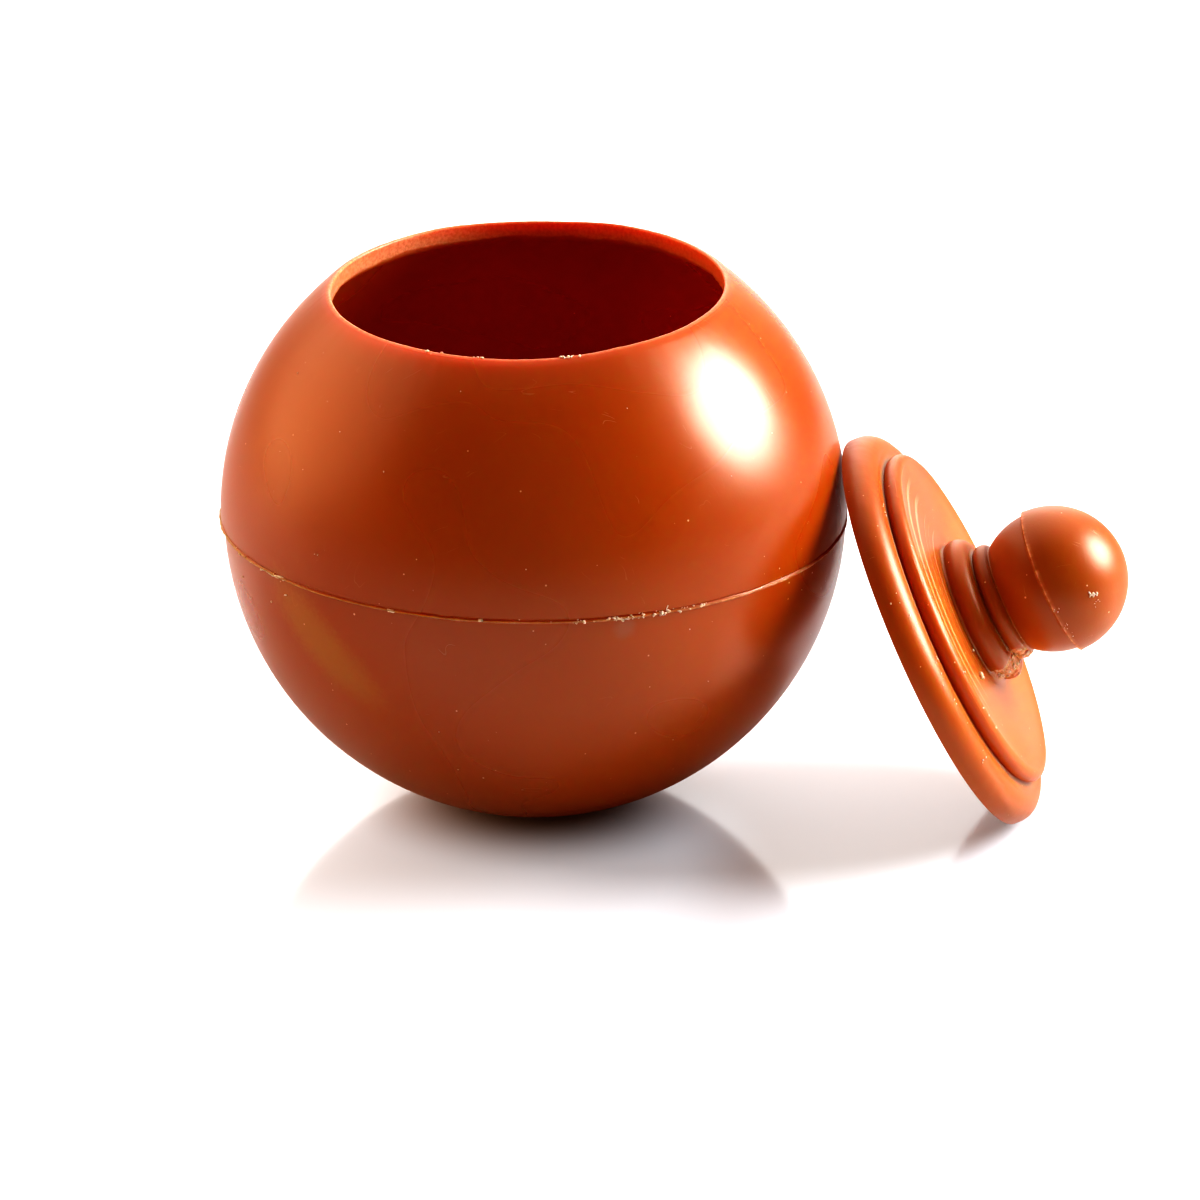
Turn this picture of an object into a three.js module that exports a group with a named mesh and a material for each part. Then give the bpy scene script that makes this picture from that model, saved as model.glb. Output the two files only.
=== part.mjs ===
// A chocolate honey pot: a hollow ball of moulded chocolate with a wide mouth, and its stepped lid with a
// ball knob, leaning on the ball's right side.
// Millimetres, +Z up. The front is towards -Y. The origin is at the centre of the flat spot that the ball
// rests on.

import * as THREE from 'three';

const { degToRad, lerp, smoothstep } = THREE.MathUtils;

// Body: two moulded halves, joined at a seam with a thin ridge of flash. Heights are from its widest level,
// and the seam lies just below that. The upper half is a little wider and lower, and was joined a little to
// the left, so that the seam has a small step on that side.
const LOWER_RADIUS = 60.05;
const LOWER_HEIGHT = 59.9;
const UPPER_RADIUS = 60.4;
const UPPER_HEIGHT = 58.6;
const UPPER_SHIFT = -0.28;
const WALL = 3.0;
const FOOT_RADIUS = 9;
const SEAM_DROP = 0.5;
const FLASH_HEIGHT = 0.5;
const FLASH_WIDTH = 0.8;

// Mouth: cut by hand, nearly straight down, so that the wall's thickness shows all round.
const MOUTH_RADIUS = 38.2;
const LIP_DEPTH = 3.25;
const LIP_ROUND = 0.4;

// The seam and the mouth aren't quite level: turns about X and about Y, in degrees.
const SEAM_TURN = [0, 0.15];
const MOUTH_TURN = [2.3, -1.25];

// Lid: two round-edged tiers, two neck rings and a ball. Heights are from its flat underside.
const TIER_RADIUS = 40.3;
const TIER_HEIGHT = 5.9;
const TIER_ROUND = 4.3;
const EDGE_ROUND = 0.4;
const BEAD_RADIUS = 34.2;
const BEAD_ROUND = 1.75;
const BEAD_TOP = 8.9;
const PLATE_TOP = 8.7;
const COLLAR_RADIUS = 14.7;
const COLLAR_ROUND = 2.8;
const COLLAR_LEVEL = 10.7;
const NECK_RADIUS = 11.75;
const NECK_ROUND = 1.75;
const NECK_LEVEL = 15.2;
const KNOB_LEVEL = 25.8;
const KNOB_INNER_RADIUS = 13.8;
const KNOB_OUTER_RADIUS = 14.4;

// How the lid leans: its knob's axis rises this much and turns this much to the front, and its middle lies
// this far in front of the body's.
const LID_RISE = 26.6;
const LID_TURN = -5.4;
const LID_FRONT = 7.0;
const LEAN_GAP = 0.25;
const FLOOR_GAP = 0.03;

// Numbers of flat facets, and the angle over and under the seam where the inside's halves meet, in degrees.
const BODY_SEGMENTS = 60;
const LID_SEGMENTS = 52;
const LOWER_STEPS = 14;
const UPPER_STEPS = 11;
const INNER_LOWER_STEPS = 12;
const INNER_UPPER_STEPS = 6;
const ROUND_STEPS = 4;
const KNOB_STEPS = 6;
const INNER_SEAM_ANGLE = 3;

const LOWER_HALF = [LOWER_RADIUS, LOWER_HEIGHT];
const UPPER_HALF = [UPPER_RADIUS, UPPER_HEIGHT];
const FOOT_LEVEL = -levelAt(FOOT_RADIUS, ...LOWER_HALF);
const MOUTH_LEVEL = levelAt(MOUTH_RADIUS, ...UPPER_HALF);

// The height of a half ellipsoid over its equator, at a distance from its axis.
function levelAt(distance, radius, height) {
  return height * Math.sqrt(1 - (distance / radius) ** 2);
}

// Points of a circle's arc in the profile's plane. Angles are in degrees, from straight outwards, upwards.
function arc(centreRadius, centreLevel, radius, from, to, steps) {
  return Array.from({ length: steps + 1 }, (_, step) => {
    const angle = degToRad(lerp(from, to, step / steps));
    return new THREE.Vector2(
      centreRadius + radius * Math.cos(angle),
      centreLevel + radius * Math.sin(angle),
    );
  });
}

// Points of a half ellipsoid's meridian from one angle to another.
function meridian(radius, height, from, to, steps) {
  return Array.from({ length: steps + 1 }, (_, step) => {
    const angle = degToRad(lerp(from, to, step / steps));
    return new THREE.Vector2(radius * Math.cos(angle), height * Math.sin(angle));
  });
}

// The angle on a meridian where it reaches a level, in degrees.
function meridianAngle(level, height) {
  return THREE.MathUtils.radToDeg(Math.asin(level / height));
}

// The round solid of a profile that starts and ends on its axis, with that axis along +Z.
function turned(profile, segments) {
  return new THREE.LatheGeometry(profile, segments).rotateX(Math.PI / 2);
}

function bodyProfile() {
  const footAngle = meridianAngle(FOOT_LEVEL, LOWER_HEIGHT);
  const mouthAngle = meridianAngle(MOUTH_LEVEL, UPPER_HEIGHT);
  const flashLow = meridianAngle(-SEAM_DROP - FLASH_WIDTH / 2, LOWER_HEIGHT);
  const flashHigh = meridianAngle(-SEAM_DROP + FLASH_WIDTH / 2, UPPER_HEIGHT);
  const innerLower = LOWER_HALF.map((size) => size - WALL);
  const innerUpper = UPPER_HALF.map((size) => size - WALL);
  const lipBottomAngle = meridianAngle(MOUTH_LEVEL - LIP_DEPTH, innerUpper[1]);
  const crown = MOUTH_RADIUS - LIP_ROUND;
  return [
    new THREE.Vector2(0, FOOT_LEVEL),
    ...meridian(...LOWER_HALF, footAngle, flashLow, LOWER_STEPS),
    new THREE.Vector2(UPPER_RADIUS + FLASH_HEIGHT, -SEAM_DROP),
    ...meridian(...UPPER_HALF, flashHigh, mouthAngle, UPPER_STEPS),
    new THREE.Vector2(crown, MOUTH_LEVEL),
    new THREE.Vector2(crown - LIP_ROUND, MOUTH_LEVEL - LIP_ROUND),
    ...meridian(...innerUpper, lipBottomAngle, INNER_SEAM_ANGLE, INNER_UPPER_STEPS),
    ...meridian(...innerLower, -INNER_SEAM_ANGLE, -90, INNER_LOWER_STEPS),
  ].map((point) => new THREE.Vector2(Math.max(point.x, 0), point.y));
}

// Turns every level of the body a little about its centre: not at all at the foot, as the seam lies at the
// seam, and as the mouth was cut from the lip's lower edge upwards. Moves the upper half to its place on the
// lower one.
function settleBody(geometry) {
  const positions = geometry.attributes.position;
  const point = new THREE.Vector3();
  const lipBottom = MOUTH_LEVEL - LIP_DEPTH;
  for (let index = 0; index < positions.count; index += 1) {
    point.fromBufferAttribute(positions, index);
    const shift = point.z > -SEAM_DROP ? UPPER_SHIFT : 0;
    const low = smoothstep(point.z, FOOT_LEVEL, 0);
    const high = smoothstep(point.z, 0, lipBottom);
    const [turnX, turnY] = SEAM_TURN.map((turn, axis) => degToRad(lerp(turn * low, MOUTH_TURN[axis], high)));
    point.applyEuler(new THREE.Euler(turnX, turnY, 0));
    positions.setXYZ(index, point.x + shift, point.y, point.z);
  }
  geometry.translate(0, 0, -FOOT_LEVEL);
  return geometry;
}

function lidProfile() {
  const beadCentre = [BEAD_RADIUS - BEAD_ROUND, BEAD_TOP - BEAD_ROUND];
  const knobStart = meridianAngle(NECK_LEVEL + NECK_ROUND - KNOB_LEVEL, KNOB_INNER_RADIUS);
  const raised = (point) => new THREE.Vector2(Math.max(point.x, 0), point.y + KNOB_LEVEL);
  return [
    new THREE.Vector2(0, 0),
    ...arc(TIER_RADIUS - EDGE_ROUND, EDGE_ROUND, EDGE_ROUND, -90, 0, 2),
    ...arc(TIER_RADIUS - TIER_ROUND, TIER_HEIGHT - TIER_ROUND, TIER_ROUND, 0, 90, ROUND_STEPS + 1),
    ...arc(...beadCentre, BEAD_ROUND, -60, 110, ROUND_STEPS),
    new THREE.Vector2(beadCentre[0] - BEAD_ROUND, PLATE_TOP),
    ...arc(COLLAR_RADIUS - COLLAR_ROUND, COLLAR_LEVEL, COLLAR_ROUND, -45, 80, ROUND_STEPS),
    ...arc(NECK_RADIUS - NECK_ROUND, NECK_LEVEL, NECK_ROUND, -65, 65, ROUND_STEPS - 1),
    ...meridian(KNOB_INNER_RADIUS, KNOB_INNER_RADIUS, knobStart, -1, KNOB_STEPS - 1).map(raised),
    ...meridian(KNOB_OUTER_RADIUS, KNOB_OUTER_RADIUS, 1, 90, KNOB_STEPS + 2).map(raised),
  ];
}

// Moves the leaning lid until its lower edge is at the floor and its upper edge is at the body's side.
function restLid(geometry) {
  const positions = geometry.attributes.position;
  geometry.computeBoundingBox();
  geometry.translate(0, -LID_FRONT, FLOOR_GAP - geometry.boundingBox.min.z);
  const reach = UPPER_RADIUS + LEAN_GAP;
  let shift = 0;
  for (let index = 0; index < positions.count; index += 1) {
    const aside = Math.hypot(positions.getY(index), positions.getZ(index) + FOOT_LEVEL);
    if (aside < reach) {
      shift = Math.max(shift, Math.sqrt(reach ** 2 - aside ** 2) - positions.getX(index));
    }
  }
  geometry.translate(shift + UPPER_SHIFT, 0, 0);
  return geometry;
}

function makeBody() {
  const chocolate = new THREE.MeshStandardMaterial({ color: 0xa8431c, roughness: 0.35, metalness: 0 });
  const body = new THREE.Mesh(settleBody(turned(bodyProfile(), BODY_SEGMENTS)), chocolate);
  body.name = 'pot';
  return body;
}

function makeLid() {
  const chocolate = new THREE.MeshStandardMaterial({ color: 0xb54d22, roughness: 0.4, metalness: 0 });
  const geometry = turned(lidProfile(), LID_SEGMENTS);
  geometry.rotateY(degToRad(90 - LID_RISE)).rotateZ(degToRad(LID_TURN));
  const lid = new THREE.Mesh(restLid(geometry), chocolate);
  lid.name = 'lid';
  return lid;
}

const honeyPot = new THREE.Group();
honeyPot.add(makeBody(), makeLid());

export default honeyPot;
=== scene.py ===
"""A chocolate honey pot with its lid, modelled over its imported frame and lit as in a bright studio.

The pot is a hollow ball of two moulded halves with a cut mouth. Its stepped lid leans on its right side. Both
are spun from an outline, and then get what moulding and cutting left on them: the ridge of flash along the
seam, the uneven cut, turned rings, a broken neck, specks, scuffs and crumbs.

A piece's lengths are in millimetres until it is finished. The finished pieces, the materials and the studio
are in metres, in the row's frame.
"""

from __future__ import annotations

import logging
import math
import random
from dataclasses import dataclass, field
from enum import Enum
from functools import reduce
from typing import Callable

import bmesh
import bpy
from mathutils import Matrix, Vector, noise
from mathutils.bvhtree import BVHTree

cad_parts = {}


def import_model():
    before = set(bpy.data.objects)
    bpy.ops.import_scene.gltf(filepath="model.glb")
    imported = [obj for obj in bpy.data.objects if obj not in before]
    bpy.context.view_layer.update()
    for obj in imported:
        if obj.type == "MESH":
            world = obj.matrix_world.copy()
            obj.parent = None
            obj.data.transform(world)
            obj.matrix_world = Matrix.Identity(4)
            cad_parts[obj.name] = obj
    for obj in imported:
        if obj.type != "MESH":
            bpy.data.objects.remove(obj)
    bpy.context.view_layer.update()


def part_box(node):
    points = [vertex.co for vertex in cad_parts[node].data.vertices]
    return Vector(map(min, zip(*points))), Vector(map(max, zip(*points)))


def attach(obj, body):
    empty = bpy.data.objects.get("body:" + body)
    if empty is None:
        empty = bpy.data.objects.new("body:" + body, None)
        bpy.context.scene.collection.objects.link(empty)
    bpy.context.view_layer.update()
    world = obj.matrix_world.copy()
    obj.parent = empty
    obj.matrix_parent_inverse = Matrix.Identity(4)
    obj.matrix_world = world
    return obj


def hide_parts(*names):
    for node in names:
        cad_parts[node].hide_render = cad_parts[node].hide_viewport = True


log = logging.getLogger("honey_pot")

MM = 0.001
BODY = "root"
ORIGIN = (0.0, 0.0, 0.0)

# Points of a mesh that are nearer to each other than this are one, in millimetres.
MERGE = 0.0005

# Name of the attribute that says how bare a piece's surface is: cut or broken, without the mould's skin, with
# painted light on the mouth's lit cut wall and on the seam's ridge.
BARE = "bare"

# Height of a bump of 1 in a finish, in metres.
RELIEF = 0.1 * MM

Pair = tuple[float, float]
Triple = tuple[float, float, float]
Colour = tuple[float, float, float]
Mesh = bmesh.types.BMesh
Socket = bpy.types.NodeSocket
Values = dict[str | int, object]
Pick = Callable[[random.Random], float]


class Slot(Enum):
    """The record's material slots."""

    POT = "moulded_chocolate"
    LID = "lid_chocolate"


class Side(Enum):
    """The way that a crumb drops onto its piece."""

    ONTO_BALL = "inwards, level"
    ONTO_RIM = "down, onto the mouth's edge"
    ONTO_PLATE = "down the lid's axis"
    ONTO_NECK = "inwards, square to the lid's axis"
    ONTO_KNOB = "towards the middle of the lid's knob"


# Shapes


class Outline:
    """Half of a round piece's section: distances from its axis and heights over its origin."""

    def __init__(self) -> None:
        """Starts an outline with no points."""
        self.points: list[Pair] = []

    def to(self, distance: float, height: float) -> None:
        """Adds a point."""
        self.points.append((max(distance, 0.0), height))

    def sweep(self, centre: Pair, size: Pair, start: float, end: float, steps: int) -> None:
        """Adds points along an arc of an ellipse.

        Args:
            centre: Distance and height of the ellipse's middle.
            size: Half its width and half its height.
            start: First angle, in degrees from straight outwards, upwards.
            end: Last angle.
            steps: Number of stretches between the points.
        """
        for step in range(steps + 1):
            angle = math.radians(start + (end - start) * step / steps)
            self.to(centre[0] + size[0] * math.cos(angle), centre[1] + size[1] * math.sin(angle))

    def bend(self, centre: Pair, radius: float, start: float, end: float, steps: int) -> None:
        """Adds points along an arc of a circle, as sweep does for an ellipse."""
        self.sweep(centre, (radius, radius), start, end, steps)

    def spun(self, segments: int) -> Mesh:
        """Spins the outline round its axis.

        Args:
            segments: Number of stretches round the axis.

        Returns:
            A closed mesh with its faces pointing out.
        """
        mesh = bmesh.new()
        corners = [mesh.verts.new((distance, 0.0, height)) for distance, height in self.points]
        edges = [mesh.edges.new(pair) for pair in zip(corners, corners[1:])]
        bmesh.ops.spin(mesh, geom=corners + edges, cent=(0, 0, 0), axis=(0, 0, 1), angle=math.tau,
                       steps=segments, use_merge=True)
        bmesh.ops.remove_doubles(mesh, verts=mesh.verts, dist=MERGE)
        bmesh.ops.recalc_face_normals(mesh, faces=mesh.faces)
        return mesh


@dataclass(frozen=True)
class Half:
    """One moulded half of the ball: half an ellipsoid."""

    radius: float
    height: float

    def level(self, distance: float) -> float:
        """Gives the height over the equator at a distance from the axis."""
        return self.height * math.sqrt(1 - (distance / self.radius) ** 2)

    def angle(self, level: float) -> float:
        """Gives the angle on the meridian where it reaches a level, in degrees."""
        return math.degrees(math.asin(level / self.height))

    def thinner(self, wall: float) -> Half:
        """Gives the inside of this half for a wall."""
        return Half(self.radius - wall, self.height - wall)

    def trace(self, outline: Outline, start: float, end: float, steps: int) -> None:
        """Adds the meridian between two angles to an outline."""
        outline.sweep((0.0, 0.0), (self.radius, self.height), start, end, steps)


def smooth_step(value: float, low: float, high: float) -> float:
    """Gives 0 for a value up to low, 1 from high, and a smooth way between them."""
    share = min(max((value - low) / (high - low), 0.0), 1.0)
    return share * share * (3 - 2 * share)


def hump(value: float, middle: float, half_width: float) -> float:
    """Gives 1 at a middle and 0 from half a width away, with a round way between."""
    return max(1 - ((value - middle) / half_width) ** 2, 0.0)


def ripple(angle: float, waves: float, seed: float) -> float:
    """Gives noise from about -1 to 1 that closes on itself round a circle, with so many waves in a radian."""
    return noise.noise(Vector((waves * math.cos(angle), waves * math.sin(angle), seed)))


def reshape(mesh: Mesh, rule: Callable[[Vector], tuple[Vector, float]]) -> None:
    """Moves every vertex to where a rule puts it, and notes how bare it is there.

    Args:
        mesh: What is reshaped.
        rule: Gives a place and a bareness for a place.
    """
    layer = mesh.verts.layers.float.new(BARE)
    for vertex in mesh.verts:
        vertex.co, vertex[layer] = rule(vertex.co)


def in_scene(name: str, data: bpy.types.ID) -> bpy.types.Object:
    """Adds an object to the scene.

    Args:
        name: The object's name.
        data: Its mesh, light or camera.

    Returns:
        The new object.
    """
    thing = bpy.data.objects.new(name, data)
    bpy.context.scene.collection.objects.link(thing)
    return thing


def finished(mesh: Mesh, name: str, material: bpy.types.Material) -> bpy.types.Object:
    """Makes a smooth object of a mesh, in metres, that rides on the frame.

    Args:
        mesh: The shape, in millimetres. It is freed.
        name: The object's name.
        material: Its finish.

    Returns:
        The new object.
    """
    bmesh.ops.scale(mesh, vec=(MM, MM, MM), verts=mesh.verts)
    for face in mesh.faces:
        face.smooth = True
    data = bpy.data.meshes.new(name)
    mesh.to_mesh(data)
    mesh.free()
    data.materials.append(material)
    piece = in_scene(name, data)
    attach(piece, BODY)
    log.info("made %s with %d faces", name, len(data.polygons))
    return piece


# Shader nodes


class Wiring:
    """Adds nodes to a node tree and joins them."""

    # The Vector Math operations that give a number.
    TO_NUMBER = ("LENGTH", "DISTANCE", "DOT_PRODUCT")

    def __init__(self, tree: bpy.types.NodeTree) -> None:
        """Keeps the tree to work on."""
        self.tree = tree

    def node(self, kind: str, values: Values | None = None, **settings: object) -> bpy.types.Node:
        """Adds a node.

        Args:
            kind: The node's type, without its ShaderNode prefix.
            values: Its inputs by name or number.
            settings: Its properties.

        Returns:
            The new node.
        """
        node = self.tree.nodes.new("ShaderNode" + kind)
        for name, value in settings.items():
            setattr(node, name, value)
        self.fill(node, values or {})
        return node

    def fill(self, node: bpy.types.Node, values: Values) -> None:
        """Feeds a node's inputs by name or number."""
        for key, value in values.items():
            self.feed(node.inputs[key], value)

    def feed(self, socket: Socket, value: object) -> None:
        """Links a socket to another, or sets its value.

        Args:
            socket: What is fed.
            value: A socket, a number or a tuple. A colour has no alpha.
        """
        if isinstance(value, Socket):
            self.tree.links.new(value, socket)
        elif isinstance(value, tuple) and len(socket.default_value) == 4:
            socket.default_value = (*value, 1.0)
        else:
            socket.default_value = value

    def math(self, operation: str, first: object, second: object = 0.0, clamp: bool = False) -> Socket:
        """Works out a number from two, which stays from 0 to 1 if clamp is set."""
        return self.node("Math", {0: first, 1: second}, operation=operation, use_clamp=clamp).outputs[0]

    def times(self, *factors: object) -> Socket:
        """Multiplies sockets and numbers."""
        return reduce(lambda product, factor: self.math("MULTIPLY", product, factor), factors)

    def plus(self, *terms: object) -> Socket:
        """Adds up sockets and numbers."""
        return reduce(lambda total, term: self.math("ADD", total, term), terms)

    def apart(self, first: object, second: object) -> Socket:
        """Gives how far two numbers are from each other."""
        return self.math("ABSOLUTE", self.math("SUBTRACT", first, second))

    def vector(self, operation: str, first: object, second: object = ORIGIN) -> Socket:
        """Works out a vector or a number from two vectors."""
        node = self.node("VectorMath", {0: first, 1: second}, operation=operation)
        return node.outputs["Value" if operation in self.TO_NUMBER else "Vector"]

    def range(self, value: Socket, low: object, high: object, start: float = 0.0, end: float = 1.0) -> Socket:
        """Turns the range from low to high into that from start to end, with a smooth way between."""
        values = {"Value": value, "From Min": low, "From Max": high, "To Min": start, "To Max": end}
        return self.node("MapRange", values, interpolation_type="SMOOTHSTEP").outputs["Result"]

    def noise(self, place: Socket, scale: object, detail: float = 2.0, roughness: float = 0.5) -> Socket:
        """Adds a Noise Texture and gives its Fac socket."""
        values = {"Vector": place, "Scale": scale, "Detail": detail, "Roughness": roughness}
        return self.node("TexNoise", values).outputs[0]

    def blend(self, share: object, first: object, second: object) -> Socket:
        """Mixes two colours.

        Args:
            share: How much of the second there is.
            first: A socket or a colour.
            second: A socket or a colour.

        Returns:
            The mixed colour's socket.
        """
        node = self.node("Mix", data_type="RGBA")
        self.feed(node.inputs["Factor"], share)
        colours = [socket for socket in node.inputs if socket.type == "RGBA"]
        self.feed(colours[0], first)
        self.feed(colours[1], second)
        return next(socket for socket in node.outputs if socket.type == "RGBA")


class Effect:
    """A node group that several finishes share. Its first input is the place on the piece."""

    def __init__(self, name: str, output: str, **inputs: object) -> None:
        """Makes the group with its sockets.

        Args:
            name: The group's name.
            output: The name of its one output.
            inputs: Its other inputs' names and first values. A tuple makes a vector.
        """
        self.tree = bpy.data.node_groups.new(name, "ShaderNodeTree")
        for label, value in {"Place": ORIGIN, **inputs}.items():
            kind = "NodeSocketVector" if isinstance(value, tuple) else "NodeSocketFloat"
            socket = self.tree.interface.new_socket(label, in_out="INPUT", socket_type=kind)
            socket.default_value = value
        self.tree.interface.new_socket(output, in_out="OUTPUT", socket_type="NodeSocketFloat")
        self.wiring = Wiring(self.tree)
        self.given = self.tree.nodes.new("NodeGroupInput").outputs
        self.place = self.given["Place"]
        self.result = self.tree.nodes.new("NodeGroupOutput").inputs[output]

    def put_out(self, socket: Socket) -> Effect:
        """Links the group's output and gives the group."""
        self.tree.links.new(socket, self.result)
        return self

    def placed(self, wiring: Wiring, place: Socket, **values: object) -> Socket:
        """Places the group in a material, with some of its inputs, and gives its output socket."""
        return wiring.node("Group", {"Place": place, **values}, node_tree=self.tree).outputs[0]


class Effects:
    """The effects that moulded chocolate has, each built once. Scales are per metre."""

    # The side of a turned piece's axis on which its rings show.
    RING_SIDE = (-0.643, -0.766, 0.0)

    def __init__(self) -> None:
        """Builds every effect."""
        self.clouds = self._clouds()
        self.skin = self._skin()
        self.specks = self._specks()
        self.scuffs = self._scuffs()
        self.patch = self._patch()
        self.turning = self._turning()

    @staticmethod
    def _clouds() -> Effect:
        """Builds broad, soft changes of tone."""
        effect = Effect("Tone clouds", "Share", Scale=22.0)
        broad = effect.wiring.noise(effect.place, effect.given["Scale"], detail=0.0)
        return effect.put_out(effect.wiring.range(broad, 0.32, 0.68))

    @staticmethod
    def _skin() -> Effect:
        """Builds the fine, slightly wavy skin that the mould leaves."""
        effect = Effect("Mould skin", "Height", Grain=0.3)
        wires, place = effect.wiring, effect.place
        waves = wires.noise(place, 90.0, detail=1.0)
        grain = wires.noise(place, 1800.0, detail=3.0, roughness=0.6)
        return effect.put_out(wires.plus(waves, wires.times(grain, effect.given["Grain"])))

    @staticmethod
    def _specks() -> Effect:
        """Builds tiny pale specks: a dot in a few of the cells of a Voronoi pattern."""
        effect = Effect("Pale specks", "Mask", Scale=420.0, Size=0.07, Share=0.2)
        wires, given = effect.wiring, effect.given
        cells = wires.node("TexVoronoi", {"Vector": effect.place, "Scale": given["Scale"]}).outputs
        chance = wires.node("SeparateColor", {"Color": cells["Color"]}).outputs
        size = wires.times(given["Size"], wires.plus(chance[1], 0.35))
        dot = wires.range(wires.math("DIVIDE", cells["Distance"], size), 0.7, 1.1, 1.0, 0.0)
        return effect.put_out(wires.times(dot, wires.math("LESS_THAN", chance[0], given["Share"])))

    @staticmethod
    def _scuffs() -> Effect:
        """Builds short fine scratches: thin bands of a stretched noise, broken up by another."""
        effect = Effect("Fine scuffs", "Mask", Width=0.003)
        wires, place = effect.wiring, effect.place
        stretched = wires.node("Mapping", {"Vector": place, "Scale": (1.0, 6.0, 1.6)}).outputs[0]
        off = wires.apart(wires.noise(stretched, 70.0, detail=1.0), 0.5)
        line = wires.range(wires.math("DIVIDE", off, effect.given["Width"]), 0.4, 1.0, 1.0, 0.0)
        broken = wires.range(wires.noise(place, 170.0, detail=2.0), 0.61, 0.66)
        return effect.put_out(wires.times(line, broken))

    @staticmethod
    def _patch() -> Effect:
        """Builds one soft-edged patch, round or long."""
        effect = Effect("Soft patch", "Mask", Centre=ORIGIN, Turn=ORIGIN, Reach=(0.01,) * 3, Ragged=0.0)
        wires, place, given = effect.wiring, effect.place, effect.given
        values = {"Location": given["Centre"], "Rotation": given["Turn"], "Scale": given["Reach"]}
        moved = wires.node("Mapping", {"Vector": place, **values}, vector_type="TEXTURE")
        rough = wires.math("SUBTRACT", wires.noise(place, 900.0, detail=4.0, roughness=0.65), 0.5)
        edge = wires.plus(wires.vector("LENGTH", moved.outputs[0]), wires.times(rough, given["Ragged"]))
        return effect.put_out(wires.range(edge, 0.25, 1.0, 1.0, 0.0))

    @classmethod
    def _turning(cls) -> Effect:
        """Builds fine rings round the axis of a turned piece, at one level and on one side."""
        effect = Effect("Turned rings", "Height", Scale=520.0, Level=0.0087)
        wires, place, given = effect.wiring, effect.place, effect.given
        parts = wires.node("SeparateXYZ", {"Vector": place}).outputs
        flat = wires.node("CombineXYZ", {"X": parts[0], "Y": parts[1]}).outputs[0]
        wobble = wires.times(wires.noise(place, 60.0, detail=1.0), 0.0016)
        distance = wires.plus(wires.vector("LENGTH", flat), wobble)
        rings = wires.node("TexNoise", {"W": wires.times(distance, given["Scale"]), "Scale": 1.0,
                                        "Detail": 3.0}, noise_dimensions="1D")
        grooves = wires.range(rings.outputs[0], 0.54, 0.62)
        facing = wires.vector("DOT_PRODUCT", wires.vector("NORMALIZE", flat), cls.RING_SIDE)
        side = wires.range(facing, 0.45, 0.85)
        here = wires.range(wires.apart(parts[2], given["Level"]), 0.0002, 0.0006, 1.0, 0.0)
        return effect.put_out(wires.times(grooves, side, here))


# Finishes


def blank_material(name: str) -> tuple[bpy.types.Material, Wiring, bpy.types.Node]:
    """Makes a material.

    Args:
        name: The material's name.

    Returns:
        The material, its wiring and its shader.
    """
    material = bpy.data.materials.new(name)
    material.use_nodes = True
    return material, Wiring(material.node_tree), material.node_tree.nodes["Principled BSDF"]


@dataclass(frozen=True)
class Patch:
    """A soft-edged spot of another tone. Its centre is in millimetres and its turn in degrees."""

    centre: Triple
    reach: Triple
    tint: Colour
    strength: float
    turn: Triple = ORIGIN
    ragged: float = 0.0

    @classmethod
    def streak(cls, start: Triple, end: Triple, width: float, tint: Colour, strength: float) -> Patch:
        """Gives a long patch.

        Args:
            start: Where it starts.
            end: Where it ends.
            width: Half its width.
            tint: Its tone.
            strength: How much of that tone shows.

        Returns:
            The patch.
        """
        way = Vector(end) - Vector(start)
        turn = way.to_track_quat("X", "Z").to_euler()
        middle = (Vector(start) + Vector(end)) / 2
        return cls(tuple(middle), (way.length * 0.8, width, width), tint, strength,
                   tuple(math.degrees(side) for side in turn), 0.5)

    def mask(self, wires: Wiring, effects: Effects, place: Socket) -> Socket:
        """Builds the patch in a material, and gives the socket of how much of its tone shows."""
        mask = effects.patch.placed(wires, place, Ragged=self.ragged,
                                    Centre=tuple(side * MM for side in self.centre),
                                    Turn=tuple(math.radians(turn) for turn in self.turn),
                                    Reach=tuple(side * MM for side in self.reach))
        return wires.times(mask, self.strength)


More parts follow.
